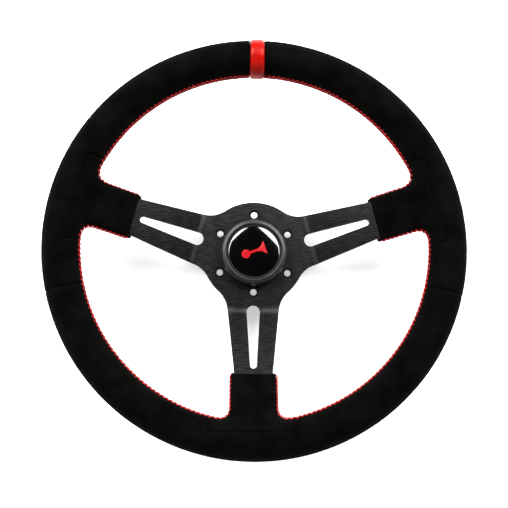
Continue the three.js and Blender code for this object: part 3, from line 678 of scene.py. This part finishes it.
def cover_of(centre):
    """Name of the cover that a spot of the skin belongs to, or None where there is none."""
    for name, angle in SPOKES.items():
        along, side = centre.xy.dot(Vector(polar(1, angle))), centre.xy.dot(Vector(polar(1, angle + 90)))
        if 0 < along < SLEEVE_SEAM and abs(side) < SLEEVE_SEAM_HALF:
            return f"sleeve_{name}" if along > SLEEVE_MOUTH else None
    if abs(centre.x) < BAND_HALF and centre.y > 0:
        return None
    turn = math.degrees(math.atan2(centre.y, centre.x)) % 360
    if 90 < turn < COVER_JOINTS[0]:
        return "cover_left"
    return "cover_bottom" if COVER_JOINTS[0] <= turn < COVER_JOINTS[1] else "cover_right"


def rolled(form):
    """Skin panel with its edges rolled down into the seams and drawn a little apart."""
    edge = {v for e in form.edges if len(e.link_faces) == 1 for v in e.verts}
    tree = kdtree.KDTree(len(edge))
    for i, vert in enumerate(edge):
        tree.insert(vert.co, i)
    tree.balance()
    verts = list(form.verts)
    points = np.array([v.co for v in verts])
    gaps = np.array([tree.find(v.co)[2] for v in verts])
    normals = outward(points)
    points = points - normals * (SEAM_DEPTH * np.exp(-((gaps / SEAM_WIDTH) ** 2)))[:, None]
    for vert, point, normal in zip(verts, points, normals):
        if vert in edge:
            inner = [o.co - vert.co for e in vert.link_edges for o in [e.other_vert(vert)] if o not in edge]
            pull = sum(inner, Vector((0, 0, 0)))
            pull -= pull.dot(Vector(normal)) * Vector(normal)
            point = Vector(point) + pull.normalized() * GAP / 2
        vert.co = point


def grip_covers():
    """Six suede panels over the rim and the spokes' roots."""
    form = bmesh.new()
    form.from_mesh(rough_grip())
    points = onto_skin(np.array([v.co for v in form.verts]), rounds=8)
    for vert, point in zip(form.verts, points):
        vert.co = point
    cut_seams(form)
    whole = bpy.data.meshes.new("skin")
    form.to_mesh(whole)
    owners = [cover_of(face.calc_center_median()) for face in form.faces]
    form.free()
    for name in sorted(set(filter(None, owners))):
        panel = bmesh.new()
        panel.from_mesh(whole)
        panel.faces.ensure_lookup_table()
        others = [panel.faces[i] for i, owner in enumerate(owners) if owner != name]
        bmesh.ops.delete(panel, geom=others, context="FACES")
        rolled(panel)
        thick = {"thickness": COVER_THICKNESS, "offset": -1, "use_even_offset": False}
        skin = to_mesh(panel, name)
        first = skin.polygons[0]
        if Vector(outward(np.array([first.center]))[0]).dot(first.normal) < 0:
            skin.flip_normals()
        mesh = applied(skin, ("SOLIDIFY", thick))
        add_piece(f"{name}_suede", mesh, "suede_black", name, hard=False)


def foam_core():
    """Moulded foam with its hollows for ring and spokes, kept a little below the covers."""
    even = {"mode": "VOXEL", "voxel_size": 2 * MM, "use_smooth_shade": True}
    soft = {"iterations": 4, "factor": 0.5}
    mesh = applied(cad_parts["grip_foam"].data.copy(), ("REMESH", even), ("SMOOTH", soft))
    points = np.array([v.co for v in mesh.vertices])
    deepest = -COVER_THICKNESS - 0.3 * MM
    high = grip_distance(points) > deepest
    points[high] = onto_skin(points[high], deepest)
    for vert, point in zip(mesh.vertices, points):
        vert.co = point
    foam = add_piece("grip_foam_moulding", mesh, "grip_foam", "grip_foam", hard=False)


def centre_band():
    """Red leather band round the rim, crowned across and tucked in at both edges."""
    form = bmesh.new()
    sections, strips = 120, 14
    rows = []
    for i in range(sections):
        turn = 2 * math.pi * i / sections
        row = []
        for k in range(strips + 1):
            share = 2 * k / strips - 1
            x = BAND_HALF * 0.985 * share
            proud = BAND_PROUD * (1 - abs(share) ** 5) - 0.15 * MM * abs(share) ** 5
            radius = RIM_RADIUS + (HALF_WIDTH + proud) * math.cos(turn)
            z = RIM_PLANE + (HALF_DEPTH + proud) * math.sin(turn)
            row.append(form.verts.new((x, math.sqrt(radius**2 - x**2), z)))
        rows.append(row)
    for row, following in zip(rows, rows[1:] + rows[:1]):
        for k in range(strips):
            form.faces.new([row[k], row[k + 1], following[k + 1], following[k]])
    thick = {"thickness": 1.4 * MM, "offset": -1}
    mesh = applied(to_mesh(form, "centre_band"), ("SOLIDIFY", thick))
    return add_piece("centre_band_leather", mesh, "leather_red", "centre_band", hard=False)


# ---- Cross stitching ----
def sleeve_route(angle, side):
    """Seam line along one side of a sleeve and round its flare, from the mouth outwards."""
    steps = 12
    xs = np.linspace(SLEEVE_MOUTH + FIRST_STITCH, FLARE_ALONG, steps)
    straight = [(x, SLEEVE_HALF, float(sleeve_middle(x))) for x in xs]
    flare = arc((FLARE_ALONG, FLARE_ACROSS), SLEEVE_FLARE, -math.pi / 2, FLARE_TURN, steps)[1:]
    low = float(sleeve_middle(FLARE_ALONG))
    curved = [(x, y, low + (RIM_PLANE - low) * (k + 1) / steps) for k, (x, y) in enumerate(flare)]
    turn = Matrix.Rotation(math.radians(angle), 3, "Z")
    return [turn @ Vector((x, side * y, z)) for x, y, z in straight + curved]


def rim_route(start, end):
    """Seam line along the rim's inner edge between two angles in degrees."""
    steps = max(2, round((end - start) / 1.5))
    angles = [start + (end - start) * k / steps for k in range(steps + 1)]
    return [Vector((*polar(RIM_INNER, angle), RIM_PLANE)) for angle in angles]


def even_steps(route, pitch):
    """Points at an even pitch along a line, with its direction at each."""
    route = np.array(route)
    lengths = np.concatenate([[0], np.cumsum(np.linalg.norm(np.diff(route, axis=0), axis=1))])
    count = round(lengths[-1] / pitch)
    places = np.linspace(0, lengths[-1], count + 1)
    points = np.stack([np.interp(places, lengths, route[:, i]) for i in range(3)], 1)
    ahead = np.gradient(points, axis=0)
    return points, ahead / np.linalg.norm(ahead, axis=1, keepdims=True)


def strands(starts, ends, hump):
    """Centre lines of stitches that dive into the skin at both ends."""
    shares = np.linspace(0, 1, 9)
    lines = starts[:, None] + (ends - starts)[:, None] * shares[None, :, None]
    lift = -0.7 * THREAD_RADIUS + (1.6 * THREAD_RADIUS + hump) * np.sin(np.pi * shares) ** 0.7
    lifts = np.tile(lift, len(starts))
    flat = lines.reshape(-1, 3)
    for _ in range(3):
        flat = flat + outward(flat) * (lifts - grip_distance(flat))[:, None]
    return flat.reshape(lines.shape)


def thread_mesh(lines, name):
    """Round thread along each centre line, closed at its ends, with a UV map along and round it."""
    count, length, around = lines.shape[0], lines.shape[1], 8
    ahead = np.gradient(lines, axis=1)
    ahead /= np.linalg.norm(ahead, axis=2, keepdims=True)
    up = outward(lines.reshape(-1, 3)).reshape(lines.shape)
    side = np.cross(ahead, up)
    side /= np.linalg.norm(side, axis=2, keepdims=True)
    up = np.cross(side, ahead)
    turns = 2 * np.pi * np.arange(around) / around
    ring = side[:, :, None] * np.cos(turns)[:, None] + up[:, :, None] * np.sin(turns)[:, None]
    verts = (lines[:, :, None] + THREAD_RADIUS * ring).reshape(-1, 3)
    faces, spots = [], []
    for s in range(count):
        base = s * length * around
        for i in range(length - 1):
            for k in range(around):
                j = (k + 1) % around
                low, high = base + i * around, base + (i + 1) * around
                faces.append((low + k, low + j, high + j, high + k))
                spots += [(i, k), (i, k + 1), (i + 1, k + 1), (i + 1, k)]
        for first in (base, base + (length - 1) * around):
            faces.append([first + k for k in range(around)])
            spots += [(0, 0)] * around
    mesh = bpy.data.meshes.new(name)
    mesh.from_pydata(verts.tolist(), [], faces)
    layer = mesh.uv_layers.new(name="strand")
    uv = np.array(spots, float) * (0.55, 2 / around)
    layer.data.foreach_set("uv", uv.ravel())
    form = bmesh.new()
    form.from_mesh(mesh)
    return to_mesh(form, name)


def stitched(node, route):
    """Row of crosses over one seam."""
    points, ahead = even_steps(onto_skin(np.array(route)), STITCH_PITCH)
    up = np.cross(outward(points), ahead)
    up *= np.sign(up[:, 2:3])
    seam = onto_skin(points + up * SEAM_HEIGHT)
    upper, lower = onto_skin(seam + up * STITCH_HALF), onto_skin(seam - up * STITCH_HALF)
    under = strands(lower[:-1], upper[1:], 0)
    over = strands(upper[:-1], lower[1:], 1.1 * THREAD_RADIUS)
    mesh = thread_mesh(np.concatenate([under, over]), node)
    return add_piece(f"{node}_crosses", mesh, "thread_red", node, hard=False)


def stitching():
    """Seams of the three windows; the top one is in two halves, either side of the band."""
    meet = math.degrees(FLARE_TURN)
    stop = math.degrees((BAND_HALF + 0.6 * MM) / RIM_INNER)
    right, left, bottom = SPOKES.values()
    stitched("stitching_top_right", sleeve_route(right, 1) + rim_route(right + meet, 90 - stop)[1:])
    stitched("stitching_top_left",
             rim_route(90 + stop, left - meet)[:-1] + sleeve_route(left, -1)[::-1])
    stitched("stitching_left", sleeve_route(left, 1) + rim_route(left + meet, bottom - meet)[1:-1]
             + sleeve_route(bottom, -1)[::-1])
    stitched("stitching_right", sleeve_route(bottom, 1) + rim_route(bottom + meet, right + 360 - meet)[1:-1]
             + sleeve_route(right, -1)[::-1])


# ---- Horn button ----
housing_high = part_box("horn_housing")[1]
BARREL = HORN_BORE - GAP
CAVITY = BARREL - 2.6 * MM
FLANGE = housing_high.x
FLANGE_BOTTOM = PLATE_FRONT + 1.4 * MM
BEZEL_RADIUS = HORN_BORE + 3 * MM
BEZEL_TOP = housing_high.z
CAP_RADIUS = HORN_BORE - 2.1 * MM
CAP_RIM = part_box("horn_cap")[1].z
CAP_FLOOR = CAP_RIM - 4 * MM
LIP_BOTTOM = PLATE_FRONT + 0.6 * MM
LIP_TOP = LIP_BOTTOM + 2 * MM
LIP_INNER = CAVITY - 1.7 * MM
LEDGE_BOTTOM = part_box("terminal_base")[1].z + GAP
LEDGE_TOP = LEDGE_BOTTOM + 4.7 * MM
LEDGE_INNER = CAVITY - 5.4 * MM
EMBLEM_RADIUS = CAP_RADIUS - 0.8 * MM - GAP
EMBLEM_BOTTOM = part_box("emblem_dome")[0].z
DOME_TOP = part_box("emblem_dome")[1].z
DOME_RISE = 2 * MM
DOME_CURVE = (EMBLEM_RADIUS**2 + DOME_RISE**2) / (2 * DOME_RISE)


def horn_housing():
    """Bezel, shaft, barrel and skirt in one moulding, with clip pockets and screw holes."""
    outside = [(CAVITY, 0), (BARREL, 0), (BARREL, FLANGE_BOTTOM), (FLANGE, FLANGE_BOTTOM)]
    outside += [(FLANGE - 0.4 * MM, FLANGE_BOTTOM + 2.2 * MM)]
    outside += [(BEZEL_RADIUS + 0.2 * MM, BEZEL_TOP - 2.8 * MM)]
    outside += [(BEZEL_RADIUS - 0.5 * MM, BEZEL_TOP - 0.8 * MM), (BEZEL_RADIUS - 3.3 * MM, BEZEL_TOP)]
    shaft = CAP_RADIUS + 0.4 * MM
    inside = [(shaft, BEZEL_TOP - 0.9 * MM), (shaft, LIP_TOP), (LIP_INNER, LIP_TOP)]
    inside += [(LIP_INNER, LIP_BOTTOM), (CAVITY, LIP_BOTTOM), (CAVITY, LEDGE_TOP), (LEDGE_INNER, LEDGE_TOP)]
    inside += [(LEDGE_INNER, LEDGE_BOTTOM), (CAVITY, LEDGE_BOTTOM)]
    mesh = turned(outside + inside, 0.5 * MM)
    pocket = (2.6 * MM, 6.8 * MM, 4.1 * MM, PLATE_BACK - 0.1 * MM)
    tools = [slab(BARREL, 30 + 120 * k, *pocket) for k in range(3)]
    drill = [(0, LEDGE_BOTTOM - 1 * MM), (1.4 * MM, LEDGE_BOTTOM - 1 * MM)]
    drill += [(1.4 * MM, LEDGE_TOP - 0.8 * MM), (0, LEDGE_TOP - 0.8 * MM)]
    circle = LEDGE_INNER + 2.2 * MM
    tools += [turned(drill, 0, False, 24, polar(circle, 90 + 120 * k)) for k in range(3)]
    mesh = sharpened(carved(mesh, joined(tools)), 45)
    return add_piece("horn_housing_moulding", mesh, "housing_plastic", "horn_housing")


def bezel_seal():
    """Rubber ring squeezed between the bezel and the plate."""
    bottom, top = PLATE_FRONT + GAP, FLANGE_BOTTOM - GAP
    inner, outer = HORN_BORE, FLANGE - GAP
    mesh = turned([(inner, bottom), (outer, bottom), (outer, top), (inner, top)], 0.3 * MM)
    return add_piece("bezel_seal_ring", mesh, "seal_rubber", "bezel_seal")


def horn_cap():
    """Dished cap with a staked boss, and three snap tabs that hook under the housing's lip."""
    stake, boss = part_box("moving_contact")[0].z - GAP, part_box("moving_contact")[1].z + GAP
    inside = CAP_RADIUS - 0.8 * MM
    disc = [(0, stake - 0.4 * MM), (2 * MM, stake - 0.4 * MM), (2 * MM, stake), (1.2 * MM, stake)]
    disc += [(1.2 * MM, boss), (5 * MM, boss), (5 * MM, CAP_FLOOR), (CAP_RADIUS, CAP_FLOOR)]
    disc += [(CAP_RADIUS, CAP_RIM), (inside, CAP_RIM), (inside, CAP_RIM - 2 * MM), (0, CAP_RIM - 2 * MM)]
    add_piece("horn_cap_dish", turned(disc, 0.2 * MM, False), "housing_plastic", "horn_cap", "horn_push")
    outer, hook, hook_top = LIP_INNER - 0.4 * MM, CAVITY - 0.7 * MM, LIP_BOTTOM - GAP
    inner, foot, root = outer - 1.9 * MM, hook_top - 1.8 * MM, CAP_FLOOR + 0.5 * MM
    hooked = [(inner, foot), (hook, foot), (hook, hook_top)]
    tabs = turned([*hooked, (outer, hook_top), (outer, root), (inner, root)])
    gap = (2 * CAP_RADIUS, 1.2 * CAP_RADIUS, foot - MM, CAP_FLOOR)
    gaps = [slab(CAP_RADIUS, 90 + 120 * k, *gap) for k in range(3)]
    mesh = sharpened(carved(tabs, joined(gaps)), 45)
    return add_piece("horn_cap_tabs", mesh, "housing_plastic", "horn_cap", "horn_push")


def crown(lift, steps=40):
    """Profile of the dome's crown, from its edge to the axis."""
    half = math.asin(EMBLEM_RADIUS / DOME_CURVE)
    turns = [math.pi / 2 - half * (1 - k / steps) for k in range(steps + 1)]
    middle = DOME_TOP - DOME_CURVE
    points = [(DOME_CURVE * math.cos(a), middle + (DOME_CURVE + lift) * math.sin(a)) for a in turns]
    return points[:-1] + [(0, DOME_TOP + lift)]


def pictogram(outset):
    """Outline of a bulb horn seen from the side: bulb, tube and bell."""
    bulb = arc((-7.5, 0), 3.9, math.pi, 0.3, 28)
    bell = [(2.5 + 8 * t, 1.1 + 5 * t * t) for t in np.linspace(0, 1, 14)]
    half = [(x * MM, max(y, 0) * MM + outset) for x, y in bulb + bell]
    half[0] = (half[0][0] - outset, 0)
    half.append((half[-1][0] + outset, half[-1][1]))
    outline = half + [(x, -y) for x, y in half[:0:-1]]
    turn = Matrix.Rotation(math.radians(20), 2)
    return [turn @ Vector(point) for point in dict.fromkeys(outline)]


def emblem():
    """Domed gloss black disc with the pictogram let into it in red enamel."""
    profile = [(0, EMBLEM_BOTTOM), (EMBLEM_RADIUS, EMBLEM_BOTTOM), *crown(0)]
    recess = prism(pictogram(0.12 * MM), DOME_TOP - 1.4 * MM, DOME_TOP + 1 * MM)
    dome = sharpened(carved(turned(profile, 0.02 * MM, False, 192), recess), 30)
    add_piece("emblem_dome_gloss", dome, "emblem_black", "emblem_dome", "horn_push", hard=False)
    shell = turned([*crown(0.05 * MM), *crown(-0.6 * MM)[::-1]], 0, True, 96)
    symbol = carved(prism(pictogram(0), EMBLEM_BOTTOM, DOME_TOP + 1 * MM), shell, "INTERSECT")
    symbol = sharpened(symbol, 30)
    return add_piece("horn_symbol_enamel", symbol, "enamel_red", "horn_symbol", "horn_push", hard=False)


def contact_spring():
    """Return spring, whose end turns lie flat, built at its length at rest. The real spring shortens as the
    cap goes down.
    """
    low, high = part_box("contact_spring")
    wire, turns = 1.16 * MM, 5
    radius = high.x - wire / 2
    shares = np.linspace(0, 1, turns * 36 + 1)
    closed_end = 0.9 / turns
    flat = np.clip((shares - closed_end) / (1 - 2 * closed_end), 0, 1)
    rise = 0.86 * flat + 0.07 * np.clip(shares / closed_end, 0, 1)
    rise = rise + 0.07 * np.clip((shares - 1 + closed_end) / closed_end, 0, 1)
    z = low.z + wire / 2 + (high.z - low.z - wire) * rise
    angles = 2 * np.pi * turns * shares
    line = np.stack([radius * np.cos(angles), radius * np.sin(angles), z], 1)
    ahead = np.gradient(line, axis=0)
    ahead /= np.linalg.norm(ahead, axis=1, keepdims=True)
    side = np.stack([line[:, 0], line[:, 1], 0 * z], 1) / radius
    up = np.cross(ahead, side)
    form = bmesh.new()
    spin = [2 * math.pi * k / 12 for k in range(12)]
    rings = []
    for point, out, over in zip(line, side, up):
        places = [point + wire / 2 * (out * math.cos(a) + over * math.sin(a)) for a in spin]
        rings.append([form.verts.new(place) for place in places])
    for lower, upper in zip(rings, rings[1:]):
        bridged(form, lower, upper)
    form.faces.new(rings[0])
    form.faces.new(rings[-1])
    mesh = to_mesh(form, "contact_spring", 60)
    spring = add_piece("contact_spring_coil", mesh, "spring_steel", "contact_spring", hard=False)
    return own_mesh(spring)


def rivet(node):
    """Round headed rivet through the ring and the spoke's tail."""
    low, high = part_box(node)
    centre = ((low.x + high.x) / 2, (low.y + high.y) / 2)
    head, shank, dome = 4.5 * MM, 2.4 * MM, 1.6 * MM
    lower, upper = low.z + dome, high.z - dome
    def cap(z, height):
        return [(head * math.cos(a), z + height * math.sin(a)) for a in np.linspace(0, math.pi / 2, 9)[:-1]]
    foot = [(0, lower - dome), *cap(lower, -dome)[::-1]]
    profile = [*foot, (shank, lower), (shank, upper), *cap(upper, dome), (0, upper + dome)]
    mesh = sharpened(turned(profile, 0, False, 40, centre), 50)
    return add_piece(f"{node}_head", mesh, "core_steel", node)


def small_parts():
    """Parts whose CAD shape is right: rounded edges and a finish."""
    rounded_copy("core_ring", 0.3 * MM, "core_steel")
    rounded_copy("terminal_base", 0.2 * MM, "base_phenolic")
    rounded_copy("fixed_contact", 0.06 * MM, "contact_brass")
    rounded_copy("moving_contact", 0.06 * MM, "contact_brass", "horn_push")
    for node in ("terminal_fixed", "terminal_spring"):
        rounded_copy(node, 0.12 * MM, "contact_brass")
    for k in (1, 2, 3):
        rounded_copy(f"base_screw_{k}", 0.12 * MM, "core_steel")
        rounded_copy(f"retaining_clip_{k}", 0.06 * MM, "spring_steel")
    for spoke in SPOKES:
        for k in (1, 2):
            rivet(f"rivet_{spoke}_{k}")


# ---- Studio ----
SOFTBOX_DISTANCE = 1.3
SOFTBOXES = {  # azimuth and tilt in degrees, width and height in metres, power in watts
    "left_softbox": (135, 40, 0.9, 0.66, 34),
    "right_softbox": (45, 40, 0.9, 0.66, 34),
    "driver_softbox": (270, 48, 1.4, 0.8, 3.5),
}


def floor():
    """Pale round floor that glows, so that it stays even away from the lights: at half strength near the
    wheel, which lightens the shadows cast there, and fully further out.
    """
    reach, near, far = 6.0, 0.5, 1.3
    # painted light: the floor glows at half strength under the wheel, lightening the shadows cast there and
    # lighting the wheel from below
    glow_near = 0.5
    form = bmesh.new()
    rim = [form.verts.new((*polar(reach, 5 * k), 0)) for k in range(72)]
    form.faces.new(rim)
    ground = placed("floor", to_mesh(form, "floor"))
    material, shader = new_finish("pale_floor", Specular_IOR_Level=0.2, Emission_Strength=1.0)
    add_mottle(material, shader, 3, (0.86, 0.86, 0.86), (0.88, 0.88, 0.88))
    add_grain(material, shader, 40, 0.75, 0.85, 0.01 * MM)
    nodes, links = material.node_tree.nodes, material.node_tree.links
    place, away = nodes.new("ShaderNodeTexCoord"), nodes.new("ShaderNodeVectorMath")
    glow = nodes.new("ShaderNodeMapRange")
    away.operation = "LENGTH"
    for socket, value in (("From Min", near), ("From Max", far), ("To Min", glow_near)):
        glow.inputs[socket].default_value = value
    links.new(place.outputs["Object"], away.inputs[0])
    links.new(away.outputs["Value"], glow.inputs["Value"])
    links.new(glow.outputs["Result"], shader.inputs["Emission Color"])
    ground.data.materials.append(material)


def softbox(name, azimuth, tilt, width, height, power):
    """Area light over the wheel, facing its hub, at a tilt from straight above."""
    lamp = bpy.data.lights.new(name, "AREA")
    lamp.shape = "RECTANGLE"
    lamp.size, lamp.size_y, lamp.energy = width, height, power
    light = placed(name, lamp)
    side, turn = math.sin(math.radians(tilt)), math.radians(azimuth)
    back = Vector((side * math.cos(turn), side * math.sin(turn), math.cos(math.radians(tilt))))
    light.location = back * SOFTBOX_DISTANCE
    light.rotation_mode = "QUATERNION"
    across = Vector((-math.sin(turn), math.cos(turn), 0))
    axes = Matrix((across, back.cross(across), back)).transposed()
    light.rotation_quaternion = axes.to_quaternion()


def surroundings():
    """Room that is bright at the horizon and dark straight above."""
    world = bpy.data.worlds.new("studio")
    bpy.context.scene.world = world
    world.use_nodes = True
    nodes, links = world.node_tree.nodes, world.node_tree.links
    place = nodes.new("ShaderNodeTexCoord")
    split = nodes.new("ShaderNodeSeparateXYZ")
    ramp = nodes.new("ShaderNodeValToRGB")
    for height, light in ((0.14, 0.5), (0.3, 0.05), (0.5, 0.008)):
        ramp.color_ramp.elements.new(height).color = (light, light, light, 1)
    ramp.color_ramp.elements[0].color = (0.95, 0.95, 0.95, 1)
    ramp.color_ramp.elements[-1].color = (0.008, 0.008, 0.008, 1)
    links.new(place.outputs["Generated"], split.inputs[0])
    links.new(split.outputs["Z"], ramp.inputs["Fac"])
    links.new(ramp.outputs["Color"], nodes["Background"].inputs["Color"])
    nodes["Background"].inputs["Strength"].default_value = 1.3


def camera():
    """Camera nearly over the wheel, a little towards the driver's side of 12 o'clock."""
    tip, lean, roll = math.radians(-8.26), math.radians(1.27), math.radians(-0.54)
    distance, off_x, off_y = 671.7 * MM, -0.18 * MM, 0.74 * MM
    turn = Matrix.Rotation(roll, 3, "Z") @ Matrix.Rotation(tip, 3, "X") @ Matrix.Rotation(lean, 3, "Y")
    lens = bpy.data.cameras.new("view")
    lens.sensor_width = 36
    lens.lens = 53.07
    lens.clip_start, lens.clip_end = 0.01, 20
    viewer = placed("view", lens)
    hub = Vector((0, 0, PLATE_FRONT))
    viewer.location = hub + turn.transposed() @ (Vector((0, 0, distance)) - Vector((off_x, off_y, 0)))
    viewer.rotation_mode = "QUATERNION"
    viewer.rotation_quaternion = turn.transposed().to_quaternion()
    bpy.context.scene.camera = viewer


camera()
floor()
surroundings()
for lamp_name, lamp_values in SOFTBOXES.items():
    softbox(lamp_name, *lamp_values)
bpy.context.scene.view_settings.view_transform = "Standard"

spoke_plate()
grip_covers()
foam_core()
centre_band()
stitching()
horn_housing()
bezel_seal()
horn_cap()
emblem()
contact_spring()
small_parts()
